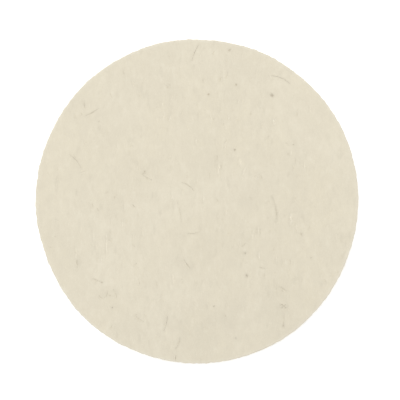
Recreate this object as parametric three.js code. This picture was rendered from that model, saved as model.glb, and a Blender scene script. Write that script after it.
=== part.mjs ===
// Peel-and-stick felt polishing disc for a 6 inch lapidary lap.
// Millimetres, +Z up. The origin is the centre of the release paper's outer face, so the disc
// lies on its back with the working face of the felt up. Layers are stacked face to face.

import * as THREE from 'three';

const INCH = 25.4;

// Driving dimensions.
const DISC_RADIUS = 6 * INCH / 2;
const FELT_THICKNESS = INCH / 4;
const FELT_EDGE_RADIUS = 0.6; // the die rounds the top edge of the felt a little
const ADHESIVE_THICKNESS = 0.10;
const FILM_THICKNESS = 0.05;
const PAPER_THICKNESS = 0.13;
const SLIT_WIDTH = 0.4; // gap between the two halves of the release paper

// Smoothness of round surfaces.
const RIM_SEGMENTS = 128;
const EDGE_ARC_STEPS = 6;

// Heights of the layers, from the back of the disc to its working face.
const PAPER_BASE = 0;
const PLATE_ADHESIVE_BASE = PAPER_BASE + PAPER_THICKNESS;
const FILM_BASE = PLATE_ADHESIVE_BASE + ADHESIVE_THICKNESS;
const FELT_ADHESIVE_BASE = FILM_BASE + FILM_THICKNESS;
const FELT_BASE = FELT_ADHESIVE_BASE + ADHESIVE_THICKNESS;

// Materials of the real object.
const felt = { color: 0xe4ddca, roughness: 0.95, metalness: 0 };
const adhesive = { color: 0xe6dfc4, roughness: 0.25, metalness: 0 };
const film = { color: 0xeceef0, roughness: 0.15, metalness: 0 };
const releasePaper = { color: 0xcbb088, roughness: 0.6, metalness: 0 };

function namedMesh(name, geometry, material) {
  const mesh = new THREE.Mesh(geometry, new THREE.MeshStandardMaterial(material));
  mesh.name = name;
  return mesh;
}

// Turns an outline of [radius, height] points, from axis to axis, into a body about +Z.
function turned(outline) {
  const points = outline.map(([radius, height]) => new THREE.Vector2(radius, height));
  const geometry = new THREE.LatheGeometry(points, RIM_SEGMENTS);
  geometry.rotateX(Math.PI / 2);
  return geometry;
}

// One flat layer of the disc, cut by the same die as the felt.
function layer(name, base, thickness, material) {
  const geometry = turned([
    [0, 0],
    [DISC_RADIUS, 0],
    [DISC_RADIUS, thickness],
    [0, thickness],
  ]);
  const mesh = namedMesh(name, geometry, material);
  mesh.position.z = base;
  return mesh;
}

// The felt, square at the back and slightly rounded where its side meets the working face.
function feltDisc() {
  const outline = [[0, 0], [DISC_RADIUS, 0]];
  for (let step = 0; step <= EDGE_ARC_STEPS; step += 1) {
    const angle = (step / EDGE_ARC_STEPS) * (Math.PI / 2);
    outline.push([
      DISC_RADIUS - FELT_EDGE_RADIUS * (1 - Math.cos(angle)),
      FELT_THICKNESS - FELT_EDGE_RADIUS * (1 - Math.sin(angle)),
    ]);
  }
  outline.push([0, FELT_THICKNESS]);
  const mesh = namedMesh('felt_disc', turned(outline), felt);
  mesh.position.z = FELT_BASE;
  return mesh;
}

// Half of the release paper: the part of the disc on one side of the slit, which runs along Y.
function releaseLiner(name, side) {
  const slitEdge = SLIT_WIDTH / 2;
  const slitAngle = Math.acos(slitEdge / DISC_RADIUS);
  const shape = new THREE.Shape();
  shape.absarc(0, 0, DISC_RADIUS, -slitAngle, slitAngle, false);
  shape.closePath();
  const geometry = new THREE.ExtrudeGeometry(shape, {
    depth: PAPER_THICKNESS,
    bevelEnabled: false,
    curveSegments: RIM_SEGMENTS / 2,
  });
  const mesh = namedMesh(name, geometry, releasePaper);
  mesh.position.z = PAPER_BASE;
  mesh.rotation.z = side > 0 ? 0 : Math.PI;
  return mesh;
}

const disc = new THREE.Group();
disc.add(
  feltDisc(),
  layer('felt_side_adhesive', FELT_ADHESIVE_BASE, ADHESIVE_THICKNESS, adhesive),
  layer('carrier_film', FILM_BASE, FILM_THICKNESS, film),
  layer('plate_side_adhesive', PLATE_ADHESIVE_BASE, ADHESIVE_THICKNESS, adhesive),
  releaseLiner('release_liner_left', -1),
  releaseLiner('release_liner_right', 1),
);

export default disc;
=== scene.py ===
"""Looks of the peel-and-stick felt polishing disc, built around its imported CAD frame.

Everything is in metres in the row frame: +Z out of the felt's working face, the slit in the
release paper along Y. The felt, its loose wool and its coarse dark hairs are meshes of their
own, and the tape layers and paper halves follow the same slightly uneven die-cut outline.
"""

import math

import bpy
import numpy as np
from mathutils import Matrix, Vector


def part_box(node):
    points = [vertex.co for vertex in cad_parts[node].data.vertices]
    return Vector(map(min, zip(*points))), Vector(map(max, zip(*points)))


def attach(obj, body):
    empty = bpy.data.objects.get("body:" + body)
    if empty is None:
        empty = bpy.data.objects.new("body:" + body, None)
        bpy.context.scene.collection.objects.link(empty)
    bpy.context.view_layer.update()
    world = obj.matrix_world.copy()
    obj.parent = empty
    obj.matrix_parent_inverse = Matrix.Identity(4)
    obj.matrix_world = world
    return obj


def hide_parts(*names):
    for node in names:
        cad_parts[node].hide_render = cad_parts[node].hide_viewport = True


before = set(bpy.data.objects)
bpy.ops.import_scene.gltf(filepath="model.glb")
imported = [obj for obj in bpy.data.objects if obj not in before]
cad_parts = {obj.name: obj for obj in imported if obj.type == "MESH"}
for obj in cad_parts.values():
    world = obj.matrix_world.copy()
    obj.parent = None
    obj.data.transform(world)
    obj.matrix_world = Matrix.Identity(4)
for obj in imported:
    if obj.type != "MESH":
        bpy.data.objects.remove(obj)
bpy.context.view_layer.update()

MM = 0.001
FELT_LOW, FELT_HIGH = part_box("felt_disc")
RADIUS = FELT_HIGH.x
FACE_Z = FELT_HIGH.z
EDGE_ROUND = 0.6 * MM  # how far the felt's top edge is rounded over
NAP_LEAN = math.radians(5)  # how far the nap's fibres lean from +Y towards -X

# Framing of the photograph: what share of the picture the disc fills, and where its centre lies,
# from the picture's left and bottom edges.
DISC_SHARE = 0.8100
DISC_CENTRE = (0.4926, 0.4971)
LENS = 100.0
SENSOR = 36.0


# ---------------------------------------------------------------- camera, floor and light


def make_camera():
    """Straight above the disc, with +Y up in the picture."""
    width = 2 * RADIUS / DISC_SHARE
    data = bpy.data.cameras.new("camera")
    data.lens = LENS
    data.sensor_width = SENSOR
    camera = bpy.data.objects.new("camera", data)
    camera.location = (
        (0.5 - DISC_CENTRE[0]) * width,
        (0.5 - DISC_CENTRE[1]) * width,
        FACE_Z + width * LENS / SENSOR,
    )
    bpy.context.scene.collection.objects.link(camera)
    bpy.context.scene.camera = camera


def make_light():
    """A wide soft key from the upper left of the picture, in a pale room."""
    data = bpy.data.lights.new("key", "AREA")
    data.shape = "DISK"
    data.size = 1.2
    data.energy = 8.0
    key = bpy.data.objects.new("key", data)
    key.location = (-0.2, 0.34, 1.25)
    key.rotation_euler = (-key.location).to_track_quat("-Z", "Y").to_euler()
    bpy.context.scene.collection.objects.link(key)

    world = bpy.data.worlds.new("room")
    world.use_nodes = True
    background = world.node_tree.nodes["Background"]
    background.inputs["Color"].default_value = (1.0, 1.0, 1.0, 1.0)
    background.inputs["Strength"].default_value = 0.75
    bpy.context.scene.world = world
    bpy.context.scene.view_settings.view_transform = "Standard"


def make_floor():
    """A plain white table under the disc."""
    half = 2.0
    corners = [(-half, -half, 0), (half, -half, 0), (half, half, 0), (-half, half, 0)]
    mesh = bpy.data.meshes.new("floor")
    mesh.from_pydata(corners, [], [(0, 1, 2, 3)])
    floor = bpy.data.objects.new("floor", mesh)
    bpy.context.scene.collection.objects.link(floor)
    _, shader = new_material("white_table")
    shader.inputs["Base Color"].default_value = (0.95, 0.95, 0.95, 1)
    shader.inputs["Roughness"].default_value = 0.8
    shader.inputs["Emission Color"].default_value = (1, 1, 1, 1)
    shader.inputs["Emission Strength"].default_value = 0.25
    mesh.materials.append(bpy.data.materials["white_table"])


# ---------------------------------------------------------------- random surfaces


class Unevenness:
    """Smooth random heights of about 1, that repeat every span metres."""

    def __init__(self, seed, span, reach_u, reach_v, cells=1024):
        """reach_u and reach_v are how far a bump reaches each way."""
        white = np.random.default_rng(seed).standard_normal((cells, cells))
        pitch = np.fft.fftfreq(cells, span / cells) * math.pi
        soften = np.exp(-2 * ((pitch[:, None] * reach_u) ** 2 + (pitch[None, :] * reach_v) ** 2))
        tile = np.fft.ifft2(np.fft.fft2(white) * soften).real
        self.tile = tile / tile.std()
        self.step = span / cells

    def __call__(self, u, v):
        """Heights at the places u and v, which are in metres."""
        cells = len(self.tile)
        low_u, low_v = np.floor(u / self.step), np.floor(v / self.step)
        part_u, part_v = u / self.step - low_u, v / self.step - low_v
        i, j = low_u.astype(int) % cells, low_v.astype(int) % cells
        i_next, j_next = (i + 1) % cells, (j + 1) % cells
        near = self.tile[i, j] * (1 - part_v) + self.tile[i, j_next] * part_v
        far = self.tile[i_next, j] * (1 - part_v) + self.tile[i_next, j_next] * part_v
        return near * (1 - part_u) + far * part_u


FACE_SPAN = 160 * MM  # a little more than the disc is wide
WALL_SPAN = 2 * math.pi * RADIUS / 3  # a third of the way round the disc
board = Unevenness(11, FACE_SPAN, 11 * MM, 14 * MM)
cloud = Unevenness(12, FACE_SPAN, 2.0 * MM, 2.8 * MM)
nap = Unevenness(13, FACE_SPAN, 0.5 * MM, 0.95 * MM)
dimple = Unevenness(14, FACE_SPAN, 0.5 * MM, 1.4 * MM)
wall_lumps = Unevenness(15, WALL_SPAN, 1.6 * MM, 0.5 * MM)
wall_nap = Unevenness(16, WALL_SPAN, 0.45 * MM, 0.3 * MM)


def dimple_depth(x, y):
    """0 on most of the face, rising to about 1 in a scatter of small hollows in the nap."""
    return np.clip((dimple(x, y) - 1.4) / 1.2, 0, 1)


def relief(x, y):
    """Height of the felt's face above its flat plane."""
    return MM * (
        0.05 * board(x, y) + 0.02 * cloud(x, y) + 0.008 * nap(x, y) - 0.06 * dimple_depth(x, y)
    )


def cut_radius(angle):
    """The die-cut outline: a circle, a little longer along Y and slightly uneven."""
    waves = np.random.default_rng(21)
    radius = RADIUS - 0.25 * MM * np.cos(2 * angle)
    for order in range(3, 13):
        wave = 0.38 * MM / order
        radius = radius + wave * np.cos(order * angle + waves.uniform(0, 2 * math.pi))
    for order in range(13, 160, 7):
        radius = radius + 0.018 * MM * np.cos(order * angle + waves.uniform(0, 2 * math.pi))
    return radius


def wall_radius(angle, z):
    """The felt's cut side: pinched in slightly at half height, with the wool's uneven cut ends."""
    share = (z - FELT_LOW.z) / (FACE_Z - FELT_LOW.z)
    pinch = 0.16 * MM * np.sin(math.pi * np.clip(share, 0, 1))
    arc = angle * RADIUS
    rough = MM * (0.06 * wall_lumps(arc, z) + 0.03 * wall_nap(arc, z))
    return cut_radius(angle) - pinch + rough * np.clip(4 * share, 0, 1)


def face_height(x, y):
    """Height of the felt's upper surface, with its rounded edge."""
    out = np.hypot(x, y) - cut_radius(np.arctan2(y, x)) + EDGE_ROUND
    out = np.clip(out, 0, EDGE_ROUND)
    return FACE_Z + relief(x, y) - (EDGE_ROUND - np.sqrt(EDGE_ROUND**2 - out**2))


# ---------------------------------------------------------------- mesh helpers


def new_object(name, vertices, faces, materials, face_slots=None):
    """A smooth-shaded mesh object in the scene."""
    mesh = bpy.data.meshes.new(name)
    mesh.from_pydata(vertices, [], faces)
    mesh.polygons.foreach_set("use_smooth", np.ones(len(faces), bool))
    for material in materials:
        mesh.materials.append(bpy.data.materials[material])
    if face_slots is not None:
        mesh.polygons.foreach_set("material_index", face_slots)
    mesh.update()
    thing = bpy.data.objects.new(name, mesh)
    bpy.context.scene.collection.objects.link(thing)
    return thing


def band(upper, lower):
    """Quads between two closed rings of vertex numbers, the upper one first, facing out."""
    return np.column_stack([upper, lower, np.roll(lower, -1), np.roll(upper, -1)])


def add_number(thing, name, values):
    """Stores one number for each vertex, for the materials to read."""
    attribute = thing.data.attributes.new(name, "FLOAT", "POINT")
    attribute.data.foreach_set("value", np.asarray(values, np.float32))


# ---------------------------------------------------------------- felt


FACE_CELLS = 270  # along each side of the square grid that is bent into the round face
RIM_REACH = 1.6 * MM  # how far in from the cut edge the wool is paler
RELIEF_FADE = 3 * MM  # how far down the side the face's unevenness still shows
EDGE_ROWS = 5
WALL_ROWS = 15


def round_grid(cells):
    """A square grid bent into the unit disc with cells of equal area, and its rim's numbers."""
    line = np.linspace(-1, 1, cells + 1)
    a, b = np.meshgrid(line, line, indexing="xy")
    wide = np.abs(a) > np.abs(b)
    radius = np.where(wide, a, b)
    safe_a, safe_b = np.where(wide, a, 1), np.where(wide | (b == 0), 1, b)
    angle = np.where(wide, math.pi / 4 * b / safe_a, math.pi / 2 - math.pi / 4 * a / safe_b)
    x, y = radius * np.cos(angle), radius * np.sin(angle)
    number = np.arange((cells + 1) ** 2).reshape(cells + 1, cells + 1)
    quads = np.stack(
        [number[:-1, :-1], number[:-1, 1:], number[1:, 1:], number[1:, :-1]], axis=-1
    ).reshape(-1, 4)
    rim = np.concatenate(
        [number[0, :-1], number[:-1, -1], number[-1, :0:-1], number[:0:-1, 0]]
    )
    return x.ravel(), y.ravel(), quads, rim


def side_rows():
    """Rings from the face to the back: how far in each is drawn, and how far down it lies."""
    turns = np.linspace(0, math.pi / 2, EDGE_ROWS + 1)[1:]
    rows = [(EDGE_ROUND * (1 - math.sin(t)), EDGE_ROUND * (1 - math.cos(t))) for t in turns]
    wall = np.linspace(EDGE_ROUND, FACE_Z - FELT_LOW.z, WALL_ROWS + 1)[1:]
    return rows + [(0.0, drop) for drop in wall]


def make_felt():
    """The pressed felt: an uneven napped face, a rounded edge, a fibrous side and a flat back."""
    x, y, quads, rim = round_grid(FACE_CELLS)
    angle = np.arctan2(y, x)
    reach = np.hypot(x, y) * (cut_radius(angle) - EDGE_ROUND)
    x, y = reach * np.cos(angle), reach * np.sin(angle)
    points = [np.column_stack([x, y, FACE_Z + relief(x, y)])]
    faces = [quads]
    sides = [np.zeros(len(quads), int)]

    around = angle[rim]
    face_edge = relief(x[rim], y[rim])
    upper, count = rim, len(x)
    for inset, drop in side_rows():
        z = FACE_Z - drop + face_edge * max(0.0, 1 - drop / RELIEF_FADE)
        radius = wall_radius(around, z) - inset
        points.append(np.column_stack([radius * np.cos(around), radius * np.sin(around), z]))
        lower = np.arange(count, count + len(rim))
        faces.append(band(upper, lower))
        sides.append(np.full(len(rim), 1 if inset == 0 else 0))
        upper, count = lower, count + len(rim)
    points.append([[0, 0, FELT_LOW.z]])
    vertices = np.concatenate(points)
    vertices[upper, 2] = FELT_LOW.z
    back = [(int(b), int(a), count) for a, b in zip(upper, np.roll(upper, -1), strict=True)]

    faces = [tuple(f) for f in np.concatenate(faces).tolist()] + back
    slots = np.concatenate([*sides, np.ones(len(back), int)])
    felt = new_object("felt_disc_wool", vertices, faces, ["felt_face", "felt_side"], slots)
    # Greyer places, painted shade and painted light on the face, stored for its material.
    grey_and_shade = greyed_and_shaded(vertices[:, 0], vertices[:, 1])
    add_number(felt, "grey_and_shade", grey_and_shade * (vertices[:, 2] > FACE_Z - EDGE_ROUND))
    inside = cut_radius(np.arctan2(vertices[:, 1], vertices[:, 0])) - np.hypot(*vertices[:, :2].T)
    add_number(felt, "rim", np.clip(1 - inside / RIM_REACH, 0, 1) ** 1.5)
    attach(felt, "pad")
    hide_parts("felt_disc")


# ---------------------------------------------------------------- marks on the face


# Greyer places in the nap, and paler ones with a negative percent: x and y in mm, how far it
# reaches along and across in mm, which way it points in degrees, and how many percent it darkens
# the wool. The first three rows are broad painted light and shade: the face darker towards the
# bottom and paler at the upper right and upper left, as the light falls across it.
SMUDGES_AND_SHADING = [
    (15, -60, 50, 20, 10, 2.4),
    (50, 54, 22, 8, -45, -2.0),
    (-60, 32, 18, 8, 62, -1.6),
    (3, -24, 20, 10, 0, 1.0),
    (1, -20, 11, 3.5, 8, 1.4),
    (-6, -29.5, 5, 3.6, -50, 4.0),
    (-43, -43, 6, 5, 0, 2.0),
    (-53, 46, 2.6, 1.6, 90, 5.0),
    (-49, 40, 6, 3, 20, 1.4),
    (22, 0, 5, 3, 0, 1.6),
    (39, -42, 4, 2.5, -20, 1.6),
    (41, -50, 4, 2.5, 0, 1.2),
    (-57, 20, 5, 2.5, -45, 1.2),
    (-25, 13, 3.5, 2.5, -30, 1.8),
    (35, 50, 2.2, 1.6, -45, 2.4),
    (53, -44, 7, 4.5, 30, 1.2),
    (-70, -2, 5, 3, 90, 1.0),
    (58, -20, 3.4, 2.5, 60, 1.6),
    (-32, 58, 5, 3, -45, 1.3),
    (8, 46, 3.5, 1.8, -75, 2.2),
]

# Coarse dark hairs in the face: middle x and y in mm, heading and bend in degrees, length in mm,
# how thick it is, and how many percent it greys the nap beside it: greyer fibres and partly the
# painted shade of the groove the hair lies in.
COARSE_HAIRS = [
    (-1.0, 69.9, 68, -14, 8.0, 0.75, 5),
    (39.5, 57.6, -21, -42, 9.6, 0.6, 4),
    (-52.9, 45.2, -80, 14, 3.6, 0.4, 5),
    (-49.3, 41.8, 29, 12, 7.6, 0.65, 3),
    (-57.0, 19.0, -47, -36, 8.4, 0.65, 3),
    (-23.6, 11.2, -32, 16, 5.6, 0.45, 2),
    (-25.0, 13.1, -8, 30, 2.0, 0.5, 2),
    (-4.2, 7.2, -32, -44, 7.0, 1.0, 2),
    (-8.2, -4.8, -78, -20, 10.0, 0.25, 4),
    (36.6, -3.6, -78, -34, 12.6, 0.28, 8),
    (37.4, -5.0, -83, -28, 8.0, 0.2, 4),
    (-1.8, -15.1, 6, 26, 5.0, 0.45, 4),
    (-4.8, -29.6, -56, 8, 5.0, 1.2, 6),
    (-47.2, -37.2, -20, -15, 5.2, 0.55, 3),
    (-45.4, -45.0, -42, 60, 2.6, 0.6, 2),
    (-42.6, -44.0, 62, 40, 3.4, 0.6, 3),
    (-38.4, -43.4, -70, -30, 4.4, 0.45, 3),
    (-14.6, -57.6, 74, 18, 7.2, 0.75, 4),
    (-8.8, -66.8, 68, 30, 5.6, 0.4, 8),
    (-10.1, -73.7, 84, -8, 2.6, 1.3, 4),
    (40.4, -41.2, -28, -24, 4.8, 0.5, 3),
    (39.8, -49.3, 110, 320, 4.4, 0.9, 3),
    (41.9, -49.4, 290, 320, 4.6, 0.6, 2),
    (40.8, -55.8, 88, 10, 6.0, 0.2, 4),
    (-27.0, -55.4, -38, 30, 4.6, 0.35, 2),
    (48.8, -15.2, -62, -30, 3.4, 0.4, 1),
    (-56.4, -28.6, -86, 6, 6.0, 0.25, 3),
    (-34.4, 60.6, -75, 12, 3.2, 0.2, 3),
    (-29.8, -2.2, -50, 10, 2.0, 0.9, 3),
    (-49.1, -2.0, -82, 0, 1.4, 0.6, 2),
    (-46.6, -4.1, -70, 0, 1.8, 0.5, 2),
    (28.0, -14.0, 90, 0, 2.8, 0.2, 2),
    (29.8, -14.2, 88, 0, 2.8, 0.35, 2),
    (43.8, -28.6, 88, 0, 2.2, 0.5, 2),
    (30.8, -31.4, -16, 10, 2.6, 0.4, 6),
    (31.6, -35.0, 88, -20, 3.0, 0.35, 4),
    (2.8, 56.6, 90, 0, 2.2, 0.5, 2),
    (11.2, 57.8, 92, 0, 4.6, 0.15, 2),
    (14.2, 59.4, 88, 0, 3.2, 0.15, 3),
    (47.0, 41.2, 90, 0, 2.8, 0.2, 3),
    (46.3, 19.0, 90, 0, 2.6, 0.25, 2),
    (9.4, 20.4, 88, 0, 2.4, 0.55, 3),
    (30.1, 11.6, -58, -14, 2.8, 0.3, 3),
    (11.4, 16.4, 90, 0, 3.2, 0.3, 3),
    (6.0, 12.6, 88, 0, 2.6, 0.25, 3),
]

# Pale tufts, each a few fibres side by side that stand proud of the nap: middle x and y in mm,
# heading in degrees and length in mm. Two that nearly coincide make one thicker tuft.
TUFTS = [
    (6.5, 39.3, 88, 2.6),
    (15.0, 39.3, 94, 2.4),
    (-16.1, 45.9, 86, 2.6),
    (19.4, 46.8, 70, 1.2),
    (36.6, 37.6, 60, 3.2),
    (36.1, 37.0, 110, 2.2),
    (-0.4, 27.9, 92, 3.0),
    (13.4, 26.4, 86, 3.2),
    (20.0, 18.6, 96, 4.0),
    (20.6, 18.0, 100, 4.2),
    (22.2, 14.2, 68, 4.4),
    (10.2, 15.0, 90, 5.2),
    (44.2, 22.4, 88, 3.0),
    (12.6, 58.8, 90, 4.6),
    (53.2, 43.0, 90, 2.8),
    (44.2, -8.4, 91, 6.4),
    (44.5, -8.0, 89, 5.0),
    (47.2, -12.6, 108, 4.2),
    (26.4, -15.6, 80, 4.6),
    (28.9, -14.0, 90, 3.0),
    (29.2, -25.6, 92, 3.0),
    (37.2, -26.6, 90, 4.8),
    (-34.0, -3.0, 90, 4.2),
    (-35.0, -10.2, 88, 3.0),
    (-40.2, -9.6, 90, 2.8),
    (-42.5, -20.6, 90, 12.0),
    (-48.6, -16.8, 90, 4.8),
    (-47.2, -20.6, 92, 3.2),
    (-44.9, -27.4, 88, 3.4),
    (-56.9, -24.2, 90, 6.4),
    (-25.5, -14.4, 90, 3.8),
    (-11.4, -36.6, 94, 4.8),
    (-11.6, 2.5, 108, 3.6),
    (3.2, 0.6, 90, 3.4),
    (13.6, -5.0, 88, 3.4),
    (27.4, 11.5, -22, 4.8),
    (50.8, 17.1, 92, 2.4),
    (-12.8, 38.8, 78, 2.8),
    (10.3, 15.2, 88, 5.0),
    (20.3, 18.3, 98, 4.4),
    (44.0, -8.6, 92, 6.0),
    (36.8, 37.2, 70, 3.0),
    (36.0, 38.0, 85, 2.4),
    (15.0, 39.5, 88, 2.2),
    (19.4, 46.9, 85, 1.6),
    (13.6, 26.6, 88, 3.0),
    (29.3, -25.6, 90, 3.0),
]

# Dark specks, each a tangle of short fine hairs: x and y in mm, how wide it is in mm, how many
# times longer it is along its heading in degrees, how dark it is from 1 to 0, and how many
# percent it greys the nap around it.
SPECKS = [
    (35.3, 49.8, 1.9, 1.3, -50, 0.2, 21),
    (5.4, 50.3, 1.0, 1.1, 0, 0.0, 7),
    (15.2, 71.1, 1.1, 1.1, 30, 0.1, 8),
    (18.3, 54.7, 1.1, 1.2, 90, 0.0, 7),
    (17.6, 24.2, 1.0, 1.1, 30, 0.3, 8),
    (23.3, -35.0, 1.1, 1.7, -50, 0.3, 15),
    (22.6, -24.4, 0.75, 1.2, -20, 0.4, 12),
    (7.9, -49.4, 0.6, 1.1, 0, 0.8, 4),
    (18.3, -64.4, 0.6, 1.6, 90, 0.8, 8),
    (45.2, 26.6, 0.5, 1.4, 20, 0.3, 2),
    (-39.9, -50.0, 0.6, 1.2, 70, 0.9, 6),
    (53.7, -26.7, 0.5, 1.0, 0, 0.8, 4),
    (-66.8, -16.6, 0.4, 1.0, 0, 0.4, 2),
    (40.6, -58.6, 0.45, 1.5, 80, 0.0, 10),
    (42.8, 22.2, 0.5, 1.2, 80, 0.3, 3),
    (-44.8, -38.2, 0.7, 1.1, 0, 0.1, 5),
    (-24.6, 14.0, 0.8, 1.3, 60, 0.1, 5),
    (-41.0, -44.4, 0.5, 1.3, 30, 0.0, 5),
]

EVEN_GREY = 0.025  # how far the whole nap is greyed, which leaves room for the paler places
FEW_HAIRS = 40
FEW_TUFTS = 110


def coarse_hair_lines():
    """The coarse hairs' lines on the face, how thick each is and how much it greys the nap."""
    random = np.random.default_rng(34)
    u, v, heading, bend, length, thick, grey = np.array(COARSE_HAIRS).T
    more_u, more_v = scattered(random, FEW_HAIRS, 2 * MM)
    u = np.concatenate([u * MM, more_u])
    v = np.concatenate([v * MM, more_v])
    turn = mostly_along_y(random, FEW_HAIRS, 0.6, 0.3)
    heading = np.concatenate([np.radians(heading), turn])
    bend = np.concatenate([np.radians(bend), random.normal(0, 0.6, FEW_HAIRS)])
    length = np.concatenate([length, random.uniform(0.9, 3.0, FEW_HAIRS)]) * MM
    thick = np.concatenate([thick, random.uniform(0.2, 0.45, FEW_HAIRS)])
    grey = np.concatenate([grey, random.uniform(1, 3, FEW_HAIRS)]) / 100
    return *strands(u, v, heading, bend, length, 11), thick, grey


def tuft_lines():
    """The tufts' middle lines on the face: those listed, fainter ones, and one along each hair."""
    random = np.random.default_rng(36)
    hair_u, hair_v, thick, _ = coarse_hair_lines()
    u, v, heading, length = np.array(TUFTS).T
    more_u, more_v = scattered(random, FEW_TUFTS, 3 * MM)
    u = np.concatenate([u * MM, more_u])
    v = np.concatenate([v * MM, more_v])
    turn = mostly_along_y(random, FEW_TUFTS, math.radians(13), 0.12)
    heading = np.concatenate([np.radians(heading), turn])
    bend = random.normal(0, 0.25, len(u))
    length = np.concatenate([length, random.uniform(1.0, 4.0, FEW_TUFTS)]) * MM
    bright = np.concatenate([np.ones(len(TUFTS)), random.uniform(0.1, 0.7, FEW_TUFTS)])
    u, v = strands(u, v, heading, bend, length, hair_u.shape[1])
    # A paler tuft just below each hair and to -X of it is a painted highlight: the lit side of the
    # hair's groove.
    u = np.concatenate([u, hair_u - 0.2 * MM])
    v = np.concatenate([v, hair_v - 0.28 * MM])
    return u, v, np.concatenate([bright, 0.5 * thick])


def near_lines(x, y, lines, reach):
    """How close each point is to any line: up to that line's strength, falling over reach."""
    found = np.zeros(len(x))
    for line_u, line_v, strength in zip(*lines, strict=True):
        wide = 2.5 * reach
        across = (x > line_u.min() - wide) & (x < line_u.max() + wide)
        inside = np.flatnonzero(across & (y > line_v.min() - wide) & (y < line_v.max() + wide))
        du, dv = np.diff(line_u), np.diff(line_v)
        from_u, from_v = x[inside, None] - line_u[:-1], y[inside, None] - line_v[:-1]
        share = np.clip((from_u * du + from_v * dv) / (du**2 + dv**2), 0, 1)
        distance = np.hypot(from_u - share * du, from_v - share * dv).min(axis=1)
        found[inside] = np.maximum(found[inside], strength * np.exp(-((distance / reach) ** 2)))
    return found


def smudged_and_shaded(x, y):
    """The share by which the smudges and the painted falloff of light darken the wool."""
    share = np.zeros(len(x))
    for middle_x, middle_y, along, across, heading, percent in SMUDGES_AND_SHADING:
        turn = math.radians(heading)
        du, dv = x / MM - middle_x, y / MM - middle_y
        u = (du * math.cos(turn) + dv * math.sin(turn)) / along
        v = (dv * math.cos(turn) - du * math.sin(turn)) / across
        share += percent / 100 * np.exp(-(u**2) - v**2)
    return share * (1 + 0.35 * cloud(x, y))


def greyed_and_shaded(x, y):
    """Darkening of the face: smudges, painted falloff, painted shade in hollows, and beside marks.
    """
    hair_u, hair_v, _, grey = coarse_hair_lines()
    tuft_u, tuft_v, bright = tuft_lines()
    speck_x, speck_y, _, _, _, _, speck_grey = np.array(SPECKS).T
    short = np.array([-0.1 * MM, 0.1 * MM])  # each speck counts as a very short line
    speck_u = speck_x[:, None] * MM + short
    speck_v = speck_y[:, None] * MM - short
    # Painted shade in the hollows: up to 5 percent darker at their deepest.
    share = EVEN_GREY + smudged_and_shaded(x, y) + 0.05 * dimple_depth(x, y)
    # Beside each hair: greyer fibres and partly the painted shade of the groove it lies in.
    share += near_lines(x, y, (hair_u, hair_v, grey), 0.55 * MM)
    # Painted shadow: a grey line 0.6 mm to -X of each tuft.
    share += 0.04 * near_lines(x, y, (tuft_u - 0.6 * MM, tuft_v, bright), 0.4 * MM)
    share += near_lines(x, y, (speck_u, speck_v, speck_grey / 100), 0.85 * MM)
    return np.clip(share, 0, 1)


# ---------------------------------------------------------------- loose wool and coarse hairs


def strands(u, v, heading, bend, length, steps):
    """Lines of equal steps in a flat sheet, centred on (u, v), that turn by bend in all."""
    along = np.linspace(-0.5, 0.5, steps)
    turn = heading[:, None] + bend[:, None] * along[None, :]
    step = length[:, None] / (steps - 1)
    path_u = np.cumsum(np.cos(turn) * step, axis=1)
    path_v = np.cumsum(np.sin(turn) * step, axis=1)
    path_u += (u - path_u.mean(axis=1))[:, None]
    path_v += (v - path_v.mean(axis=1))[:, None]
    return path_u, path_v


def tubes(name, paths, radii, material, tone, sides=3):
    """One mesh of thin closed tubes: paths is tube by point by xyz, radii is tube by point."""
    count, steps = radii.shape
    along = np.gradient(paths, axis=1)
    along /= np.linalg.norm(along, axis=2, keepdims=True)
    across = np.cross(along, [0.0, 0.0, 1.0])
    across /= np.maximum(np.linalg.norm(across, axis=2, keepdims=True), 1e-9)
    above = np.cross(across, along)
    spin = np.arange(sides) * 2 * math.pi / sides + math.pi / 2
    ring = (
        across[:, :, None, :] * np.cos(spin)[None, None, :, None]
        + above[:, :, None, :] * np.sin(spin)[None, None, :, None]
    )
    vertices = paths[:, :, None, :] + ring * radii[:, :, None, None]
    number = np.arange(count * steps * sides).reshape(count, steps, sides)
    near, far = number[:, :-1], number[:, 1:]
    walls = np.stack([near, far, np.roll(far, -1, axis=2), np.roll(near, -1, axis=2)], axis=-1)
    faces = [tuple(f) for f in walls.reshape(-1, 4).tolist()]
    faces += [tuple(f) for f in number[:, 0].tolist()]
    faces += [tuple(f[::-1]) for f in number[:, -1].tolist()]
    thing = new_object(name, vertices.reshape(-1, 3), faces, [material])
    add_number(thing, "tone", np.repeat(tone, steps * sides))
    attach(thing, "pad")
    return thing


def on_face(u, v, lift):
    """Points over the felt's face, lifted clear of the nap by lift."""
    return np.stack([u, v, face_height(u, v) + lift], axis=-1)


def on_wall(u, v, lift):
    """Points off the felt's side: u is the distance round the disc and v the height."""
    angle = u / RADIUS
    out = wall_radius(angle, v) + lift
    return np.stack([out * np.cos(angle), out * np.sin(angle), v], axis=-1)


def thinning(steps, tip=0.35):
    """Full thickness in the middle of a hair, thinner at its ends."""
    along = np.linspace(-1, 1, steps)
    return 1 - (1 - tip) * along[None, :] ** 2


def scattered(random, count, margin):
    """Even random places on the face, at least margin inside the rim."""
    angle = random.uniform(0, 2 * math.pi, count)
    radius = (RADIUS - margin) * np.sqrt(random.uniform(0, 1, count))
    return radius * np.cos(angle), radius * np.sin(angle)


def mostly_along_y(random, count, spread, stray):
    """Headings spread about the nap's lean, close to Y, of which a share is in any direction."""
    heading = math.pi / 2 + NAP_LEAN + random.normal(0, spread, count)
    return np.where(random.uniform(0, 1, count) < stray, random.uniform(0, math.pi, count), heading)


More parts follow.
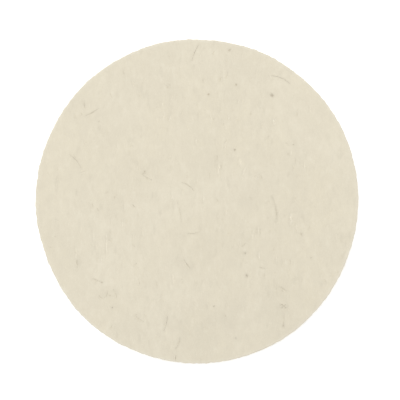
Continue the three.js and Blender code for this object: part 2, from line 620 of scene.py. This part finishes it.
def make_face_fibres():
    """Pale wool fibres lying in the nap, most of them along Y."""
    random = np.random.default_rng(31)
    count, steps = 6000, 5
    u, v = scattered(random, count, 0.2 * MM)
    heading = mostly_along_y(random, count, math.radians(16), 0.25)
    bend = random.normal(0, math.radians(35), count)
    length = MM * np.clip(random.lognormal(math.log(2.4), 0.45, count), 0.8, 7.5)
    u, v = strands(u, v, heading, bend, length, steps)
    arch = np.sin(math.pi * np.linspace(0, 1, steps))[None, :]
    radii = MM * random.uniform(0.022, 0.042, count)[:, None] * thinning(steps)
    lift = 0.03 * MM * (arch - 1) - 0.3 * radii
    tone = random.uniform(0, 0.6, count)
    tubes("wool_fibres_face", on_face(u, v, lift), radii, "pale_wool", tone)


def make_face_fuzz():
    """Short fine ends of wool that stand a little way out of the face."""
    random = np.random.default_rng(32)
    count, steps = 3800, 5
    u, v = scattered(random, count, 0.0)
    heading = random.uniform(0, 2 * math.pi, count)
    bend = random.normal(0, math.radians(70), count)
    length = MM * random.uniform(0.4, 1.5, count)
    u, v = strands(u, v, heading, bend, length, steps)
    share = np.linspace(0, 1, steps)[None, :]
    rise = MM * (0.06 + random.exponential(0.09, count)[:, None])
    lift = -0.03 * MM + np.clip(rise, 0, 0.45 * MM) * share**1.4
    radii = MM * random.uniform(0.012, 0.022, count)[:, None] * (1 - 0.5 * share)
    tone = random.uniform(0, 0.5, count)
    tubes("wool_fuzz_face", on_face(u, v, lift), radii, "pale_wool", tone)


def make_side_fuzz():
    """Wool on the cut side of the felt: most fibres lie matted in it, and some stick out."""
    random = np.random.default_rng(33)
    count, steps = 7000, 5
    clear = 0.35 * MM
    u = random.uniform(0, 2 * math.pi * RADIUS, count)
    v = random.uniform(FELT_LOW.z + clear, FACE_Z - EDGE_ROUND / 2, count)
    heading = random.normal(0, math.radians(32), count)
    bend = random.normal(0, math.radians(75), count)
    length = MM * random.uniform(0.6, 2.6, count)
    u, v = strands(u, v, heading, bend, length, steps)
    v = np.clip(v, FELT_LOW.z + clear, FACE_Z - EDGE_ROUND / 3)
    share = np.linspace(0, 1, steps)[None, :]
    radii = MM * random.uniform(0.014, 0.028, count)[:, None] * (1 - 0.5 * share)
    loose = random.uniform(0, 1, count)[:, None] < 0.22
    rise = np.clip(MM * random.exponential(0.12, count)[:, None], 0, 0.4 * MM)
    lift = np.where(loose, rise * share - 0.02 * MM, -0.3 * radii)
    tone = random.uniform(0, 0.8, count)
    tubes("wool_fuzz_side", on_wall(u, v, lift), radii, "pale_wool", tone)


def make_tufts():
    """Pale tufts of a few fibres side by side."""
    random = np.random.default_rng(37)
    u, v, bright = tuft_lines()
    fibres, steps = 7, u.shape[1]
    u, v, bright = np.repeat(u, fibres, 0), np.repeat(v, fibres, 0), np.repeat(bright, fibres)
    count = len(bright)
    u = u + MM * random.normal(0, 0.19, count)[:, None]
    v = v + MM * random.normal(0, 0.4, count)[:, None]
    arch = np.sin(math.pi * np.linspace(0, 1, steps))[None, :]
    lift = MM * (-0.03 + random.uniform(0.03, 0.05, count)[:, None] * arch)
    radii = MM * (0.016 + 0.026 * bright[:, None]) * thinning(steps)
    tubes("wool_tufts", on_face(u, v, lift), radii, "pale_wool", 0.15 + 0.6 * bright)


def make_coarse_hairs():
    """The dark kemp hairs pressed into the face."""
    random = np.random.default_rng(38)
    u, v, thick, _ = coarse_hair_lines()
    count, steps = u.shape
    weave = random.uniform(0, 2 * math.pi, count)[:, None]
    share = np.linspace(0, 1, steps)[None, :]
    lift = MM * (0.015 + 0.03 * np.sin(weave + 7 * share))
    radii = 0.05 * MM * thick[:, None] * thinning(steps, 0.5)
    tone = random.uniform(0, 0.5, count)
    tubes("coarse_hairs", on_face(u, v, lift), radii, "dark_hair", tone, sides=6)


def make_specks():
    """The dark specks, as loose tangles of short fine hairs."""
    random = np.random.default_rng(35)
    x, y, width, longer, heading, dark, _ = np.repeat(SPECKS, 9, axis=0).T
    count, steps = len(x), 6
    reach = width * np.sqrt(random.uniform(0, 0.16, count))
    turn, lean = random.uniform(0, 2 * math.pi, count), np.radians(heading)
    along, across = reach * np.cos(turn) * longer, reach * np.sin(turn) / longer
    u = MM * (x + along * np.cos(lean) - across * np.sin(lean))
    v = MM * (y + along * np.sin(lean) + across * np.cos(lean))
    heading = lean + random.normal(0, 1.0, count)
    bend = random.normal(0, 2.2, count)
    u, v = strands(u, v, heading, bend, MM * width * random.uniform(0.4, 0.9, count), steps)
    lift = MM * random.uniform(0.0, 0.04, count)[:, None] * np.ones((1, steps))
    radii = MM * (0.016 + 0.006 * width[:, None]) * thinning(steps, 0.5)
    tubes("dark_specks", on_face(u, v, lift), radii, "dark_hair", 1 - dark, sides=4)


# ---------------------------------------------------------------- tape and release paper


OUTLINE_STEPS = 720
FLAT_RINGS = (0.35, 0.75, 0.97)  # where a slab's flat faces have rings, as shares of its reach
CUT_RINGS = 5  # rings down a slab's cut edge
PAPER_INSET = 0.08 * MM  # how far the paper is cut in from the felt
PAPER_BULGE = 0.01 * MM


def round_outline(inset):
    """The die-cut outline, inset by that much."""
    angle = np.arange(OUTLINE_STEPS) * 2 * math.pi / OUTLINE_STEPS
    radius = cut_radius(angle) - inset
    return np.column_stack([radius * np.cos(angle), radius * np.sin(angle)])


def half_outline(inset, side, slit_edge):
    """The part of the outline on one side of the slit, closed by the knife's straight cut."""
    reach = math.acos(slit_edge / RADIUS)
    angle = np.linspace(-reach, reach, OUTLINE_STEPS // 2)
    angle = angle if side > 0 else angle + math.pi
    radius = cut_radius(angle) - inset
    rim = np.column_stack([radius * np.cos(angle), radius * np.sin(angle)])
    cut = np.linspace(rim[-1], rim[0], OUTLINE_STEPS // 4)[1:-1]
    return np.concatenate([rim, cut])


def make_slab(name, outline, low, high, bulge, materials, body, node):
    """A thin flat layer whose cut edge stands out by bulge at half height.

    The upper face has the second of the materials, if there are two, and the rest has the first.
    """
    middle = outline.mean(axis=0)
    arms = outline - middle
    length = np.linalg.norm(arms, axis=1, keepdims=True)
    count = len(outline)
    rows = [(share, 0.0, high) for share in FLAT_RINGS]
    for step in range(CUT_RINGS):
        turn = math.pi * step / (CUT_RINGS - 1)
        z = (high + low) / 2 + (high - low) / 2 * math.cos(turn)
        rows.append((1.0, bulge * math.sin(turn), z))
    rows += [(share, 0.0, low) for share in reversed(FLAT_RINGS)]
    points = [
        np.column_stack([middle + arms * (share + out / length), np.full(count, z)])
        for share, out, z in rows
    ]
    points.append([[*middle, high], [*middle, low]])
    faces = []
    for row in range(len(rows) - 1):
        ring = np.arange(count) + row * count
        faces += [tuple(f) for f in band(ring, ring + count).tolist()]
    top, last = len(rows) * count, (len(rows) - 1) * count
    ring = np.arange(count)
    faces += [(int(a), int(b), top) for a, b in zip(ring, np.roll(ring, -1), strict=True)]
    faces += [
        (int(b) + last, int(a) + last, top + 1)
        for a, b in zip(ring, np.roll(ring, -1), strict=True)
    ]
    on_top = (len(FLAT_RINGS) + 1) * count if len(materials) > 1 else 0
    slots = [int(max(face[:2]) < on_top) for face in faces]
    slab = new_object(name, np.concatenate(points), faces, materials, slots)
    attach(slab, body)
    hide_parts(node)


def make_tape():
    """The double-coated tape: gum, film, gum."""
    layers = [
        ("felt_side_adhesive", 0.10 * MM, 0.05 * MM, "gum", "adhesive"),
        ("carrier_film", 0.16 * MM, 0.0, "clear_film", "carrier_film"),
        ("plate_side_adhesive", 0.10 * MM, 0.05 * MM, "gum", "adhesive"),
    ]
    for node, inset, bulge, material, slot in layers:
        low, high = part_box(node)
        make_slab(
            node + "_coat" if slot == "adhesive" else node + "_sheet",
            round_outline(inset), low.z, high.z, bulge, [material], "pad", node,
        )


def make_release_paper():
    """The two halves of the split-back release paper."""
    for name, side in (("left", -1), ("right", 1)):
        node = "release_liner_" + name
        low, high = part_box(node)
        slit_edge = min(abs(low.x), abs(high.x))
        make_slab(
            "release_paper_" + name, half_outline(PAPER_INSET, side, slit_edge),
            low.z, high.z, PAPER_BULGE, ["kraft_paper", "release_coat"],
            "liner_" + name, node,
        )


# ---------------------------------------------------------------- materials


def new_material(name):
    """A node material with one Principled shader; returns its node tree and that shader."""
    material = bpy.data.materials.new(name)
    material.use_nodes = True
    return material.node_tree, material.node_tree.nodes["Principled BSDF"]


def add_node(tree, kind, settings=None, **inputs):
    """A node with its settings, and its inputs set to a value or linked to another socket."""
    node = tree.nodes.new(kind)
    for key, value in (settings or {}).items():
        setattr(node, key, value)
    for key, value in inputs.items():
        socket = node.inputs[key.replace("_", " ")]
        if isinstance(value, bpy.types.NodeSocket):
            tree.links.new(value, socket)
        else:
            socket.default_value = value
    return node


def place(tree, stretch=(1, 1, 1), turn=0.0):
    """Object coordinates in metres, turned about Z and then stretched."""
    source = add_node(tree, "ShaderNodeTexCoord").outputs["Object"]
    turned = add_node(tree, "ShaderNodeMapping", Vector=source, Rotation=(0, 0, turn))
    stretched = add_node(
        tree, "ShaderNodeMapping", Vector=turned.outputs["Vector"], Scale=stretch
    )
    return stretched.outputs["Vector"]


def noise(tree, scale, detail=2.0, roughness=0.5, stretch=(1, 1, 1), turn=0.0):
    """Noise of about scale bumps a metre."""
    return add_node(
        tree, "ShaderNodeTexNoise", Vector=place(tree, stretch, turn),
        Scale=scale, Detail=detail, Roughness=roughness,
    ).outputs["Fac"]


def spread_out(tree, value, low, high, new_low=0.0, new_high=1.0):
    """value from low to high, carried to new_low to new_high and held there."""
    return add_node(
        tree, "ShaderNodeMapRange", Value=value,
        **{"From_Min": low, "From_Max": high, "To_Min": new_low, "To_Max": new_high},
    ).outputs["Result"]


def maths(tree, operation, first, second):
    """One arithmetic step on two values."""
    node = tree.nodes.new("ShaderNodeMath")
    node.operation = operation
    for socket, value in zip(node.inputs, (first, second), strict=False):
        if isinstance(value, bpy.types.NodeSocket):
            tree.links.new(value, socket)
        else:
            socket.default_value = value
    return node.outputs[0]


def blended(tree, share, first, second):
    """Colour first where share is 0 and second where it is 1."""
    node = tree.nodes.new("ShaderNodeMix")
    node.data_type = "RGBA"
    sockets = (node.inputs[0], node.inputs[6], node.inputs[7])  # the share and the two colours
    for socket, value in zip(sockets, (share, first, second), strict=True):
        if isinstance(value, bpy.types.NodeSocket):
            tree.links.new(value, socket)
        else:
            socket.default_value = value if isinstance(value, float) else (*value, 1)
    return node.outputs[2]


def number_of(tree, name):
    """A number stored on the vertices."""
    return add_node(tree, "ShaderNodeAttribute", {"attribute_name": name}).outputs["Fac"]


def bump(tree, height, depth, strength=1.0):
    """A normal from a height that is depth metres from 0 to 1."""
    return add_node(
        tree, "ShaderNodeBump", Height=height, Distance=depth, Strength=strength
    ).outputs["Normal"]


WOOL = (0.718, 0.662, 0.5325)
WOOL_YELLOW = (0.712, 0.652, 0.514)
WOOL_GREY = (0.663, 0.608, 0.486)
WOOL_PALE = (0.764, 0.710, 0.580)
RIM_PALE = (0.775, 0.735, 0.625)
FIBRE_PALE = (0.85, 0.80, 0.672)
DARKEST_GREY_AND_SHADE = (0.03, 0.026, 0.02)  # what the greyed places and the painted shade of the face are blended towards
LOOSE_CREAM = (0.765, 0.710, 0.575)
LOOSE_WHITE = (0.94, 0.895, 0.785)
HAIR_DARK = (0.15, 0.12, 0.085)
HAIR_BROWN = (0.46, 0.37, 0.24)
HAIR_WORN = (0.42, 0.37, 0.28)
GUM_PALE = (0.70, 0.60, 0.40)
GUM_DEEP = (0.62, 0.50, 0.30)
FILM_CLEAR = (0.80, 0.80, 0.78)
FILM_MILKY = (0.72, 0.72, 0.69)
KRAFT = (0.585, 0.420, 0.236)
KRAFT_COATED = (0.605, 0.445, 0.262)
PULP_PALE = (0.68, 0.53, 0.34)
PULP_FLECK = (0.34, 0.22, 0.11)

# Layers of fine fibres in the felt's face, the paper and the felt's side: how tight each one's
# curls are along X, Y and Z, as curls a metre, and how far it is turned about Z.
FACE_MAT = [
    ((2300, 600, 600), -NAP_LEAN),
    ((2700, 900, 900), math.radians(16)),
    ((2300, 800, 800), math.radians(-27)),
    ((900, 2100, 2100), math.radians(21)),
]
PULP_MAT = [
    ((1500, 380, 380), math.radians(8)),
    ((1700, 600, 600), math.radians(-35)),
    ((600, 1500, 1500), math.radians(15)),
]
SIDE_MAT = [
    ((420, 420, 1500), 0.0),
    ((700, 700, 1900), math.radians(40)),
    ((900, 900, 1100), math.radians(70)),
]


def matted(tree, layers):
    """Fine curly fibres, 1 on a fibre and 0 off it: each layer is a stretch and a turn about Z."""
    found = None
    for stretch, turn in layers:
        height = noise(tree, 1.0, 1.5, 0.5, stretch, turn)
        from_middle = maths(tree, "ABSOLUTE", maths(tree, "SUBTRACT", height, 0.5), 0.0)
        line = spread_out(tree, from_middle, 0.035, 0.0)
        found = line if found is None else maths(tree, "MAXIMUM", found, line)
    return found


def felt_streaks(tree):
    """The grain of the nap, from 0 to 1: most of it runs along the nap, some crosses at a slant."""
    along = noise(tree, 1.0, 3.0, 0.6, (3400, 420, 420), -NAP_LEAN)
    left = noise(tree, 1.0, 2.0, 0.6, (3000, 650, 650), math.radians(24))
    right = noise(tree, 1.0, 2.0, 0.6, (3000, 650, 650), math.radians(-31))
    crossed = maths(tree, "MULTIPLY", maths(tree, "ADD", left, right), 0.5)
    along_share = maths(tree, "MULTIPLY", along, 0.6)
    return maths(tree, "ADD", along_share, maths(tree, "MULTIPLY", crossed, 0.4))


def make_felt_face():
    """Undyed pressed wool seen from above: mottled cream, crossed by fine paler fibres."""
    tree, shader = new_material("felt_face")
    patches = spread_out(tree, noise(tree, 30, 2.0), 0.35, 0.65)
    colour = blended(tree, patches, WOOL, WOOL_YELLOW)
    clouds = spread_out(tree, noise(tree, 70, 5.0, 0.62, (1, 0.7, 1)), 0.36, 0.70, 0.0, 0.7)
    colour = blended(tree, clouds, colour, WOOL_GREY)
    wisps = noise(tree, 1.0, 3.0, 0.6, (400, 210, 210), -NAP_LEAN)
    colour = blended(tree, spread_out(tree, wisps, 0.46, 0.72, 0.0, 0.75), colour, WOOL_GREY)
    colour = blended(tree, spread_out(tree, wisps, 0.44, 0.26, 0.0, 0.45), colour, WOOL_PALE)
    frayed = spread_out(tree, noise(tree, 800, 3.0), 0.35, 0.65, 0.25, 0.9)
    frayed = maths(tree, "MULTIPLY", frayed, number_of(tree, "rim"))
    colour = blended(tree, frayed, colour, RIM_PALE)
    streaks = felt_streaks(tree)
    pale = spread_out(tree, streaks, 0.50, 0.68, 0.0, 0.3)
    colour = blended(tree, pale, colour, WOOL_PALE)
    fibres = matted(tree, FACE_MAT)
    colour = blended(tree, maths(tree, "MULTIPLY", fibres, 0.22), colour, FIBRE_PALE)
    # The greyed places, painted shade and painted light stored on the felt mesh.
    colour = blended(tree, number_of(tree, "grey_and_shade"), colour, DARKEST_GREY_AND_SHADE)
    tree.links.new(colour, shader.inputs["Base Color"])
    grain = noise(tree, 2600, 3.0, 0.65)
    height = maths(tree, "ADD", streaks, maths(tree, "MULTIPLY", fibres, 0.6))
    tree.links.new(bump(tree, height, 0.04 * MM, 0.45), shader.inputs["Normal"])
    tree.links.new(spread_out(tree, grain, 0.3, 0.7, 0.88, 1.0), shader.inputs["Roughness"])
    soften_wool(shader)


def make_felt_side():
    """The felt's cut side: layers of matted wool seen edge on, greyed with painted shade."""
    tree, shader = new_material("felt_side")
    layers = noise(tree, 1.0, 3.0, 0.6, (220, 220, 1900))
    # Greyer than the face: painted shade that darkens the whole side.
    colour = blended(tree, spread_out(tree, layers, 0.35, 0.68), WOOL_GREY, WOOL)
    shade = spread_out(tree, noise(tree, 420, 3.0), 0.42, 0.72, 0.0, 0.6)
    colour = blended(tree, shade, colour, tuple(0.88 * c for c in WOOL_GREY))
    fibres = matted(tree, SIDE_MAT)
    colour = blended(tree, maths(tree, "MULTIPLY", fibres, 0.45), colour, FIBRE_PALE)
    tree.links.new(colour, shader.inputs["Base Color"])
    height = maths(tree, "ADD", layers, maths(tree, "MULTIPLY", fibres, 0.7))
    tree.links.new(bump(tree, height, 0.08 * MM, 0.6), shader.inputs["Normal"])
    grain = noise(tree, 2600, 3.0, 0.65)
    tree.links.new(spread_out(tree, grain, 0.3, 0.7, 0.88, 1.0), shader.inputs["Roughness"])
    soften_wool(shader)


def soften_wool(shader):
    """The faint sheen of wool, and hardly any gloss."""
    shader.inputs["Sheen Weight"].default_value = 0.12
    shader.inputs["Sheen Roughness"].default_value = 0.6
    shader.inputs["Sheen Tint"].default_value = (1.0, 0.97, 0.9, 1)
    shader.inputs["Specular IOR Level"].default_value = 0.2


def make_pale_wool():
    """Loose wool fibres, each a little different, from cream to nearly white."""
    tree, shader = new_material("pale_wool")
    colour = blended(tree, number_of(tree, "tone"), LOOSE_CREAM, LOOSE_WHITE)
    along = spread_out(tree, noise(tree, 900, 2.0), 0.4, 0.7, 0.0, 0.3)
    colour = blended(tree, along, colour, WOOL_PALE)
    tree.links.new(colour, shader.inputs["Base Color"])
    shader.inputs["Roughness"].default_value = 0.8
    soften_wool(shader)


def make_dark_hair():
    """Coarse kemp hair and seed matter: grey brown, paler towards some ends."""
    tree, shader = new_material("dark_hair")
    colour = blended(tree, number_of(tree, "tone"), HAIR_DARK, HAIR_BROWN)
    worn = spread_out(tree, noise(tree, 350, 2.0), 0.5, 0.8, 0.0, 0.5)
    colour = blended(tree, worn, colour, HAIR_WORN)
    tree.links.new(colour, shader.inputs["Base Color"])
    shader.inputs["Roughness"].default_value = 0.6


def make_gum():
    """Acrylic adhesive over felt: faintly amber, glossy, with the felt's unevenness showing."""
    tree, shader = new_material("gum")
    fill = spread_out(tree, noise(tree, 380, 3.0, 0.6), 0.35, 0.7)
    colour = blended(tree, fill, GUM_PALE, GUM_DEEP)
    tree.links.new(colour, shader.inputs["Base Color"])
    tree.links.new(bump(tree, fill, 0.04 * MM, 0.5), shader.inputs["Normal"])
    shader.inputs["Roughness"].default_value = 0.16
    shader.inputs["Coat Weight"].default_value = 0.3


def make_film():
    """Thin polyester film, slightly milky at its cut edge."""
    tree, shader = new_material("clear_film")
    haze = spread_out(tree, noise(tree, 600, 2.0), 0.35, 0.65)
    colour = blended(tree, haze, FILM_CLEAR, FILM_MILKY)
    tree.links.new(colour, shader.inputs["Base Color"])
    shader.inputs["Roughness"].default_value = 0.12


def make_paper(name, roughness, coat, colour):
    """Kraft paper: short wood fibres, cloudy where the pulp is thicker, under a gloss of coat."""
    tree, shader = new_material(name)
    pulp = spread_out(tree, noise(tree, 230, 5.0, 0.65, (1, 0.6, 1)), 0.32, 0.70)
    colour = blended(tree, pulp, colour, tuple(0.92 * c for c in colour))
    fibres = matted(tree, PULP_MAT)
    colour = blended(tree, maths(tree, "MULTIPLY", fibres, 0.35), colour, PULP_PALE)
    flecks = spread_out(tree, noise(tree, 1100, 2.0, 0.7, (1, 0.5, 1)), 0.68, 0.76, 0.0, 0.45)
    colour = blended(tree, flecks, colour, PULP_FLECK)
    tree.links.new(colour, shader.inputs["Base Color"])
    tree.links.new(bump(tree, fibres, 0.012 * MM, 0.4), shader.inputs["Normal"])
    rough = spread_out(tree, pulp, 0.0, 1.0, roughness, roughness + 0.08)
    tree.links.new(rough, shader.inputs["Roughness"])
    shader.inputs["Coat Weight"].default_value = coat
    shader.inputs["Coat Roughness"].default_value = 0.22


make_camera()
make_light()
make_floor()
make_felt_face()
make_felt_side()
make_pale_wool()
make_dark_hair()
make_gum()
make_film()
make_paper("kraft_paper", 0.62, 0.0, KRAFT)
make_paper("release_coat", 0.38, 0.35, KRAFT_COATED)
make_felt()
make_face_fibres()
make_face_fuzz()
make_side_fuzz()
make_tufts()
make_coarse_hairs()
make_specks()
make_tape()
make_release_paper()
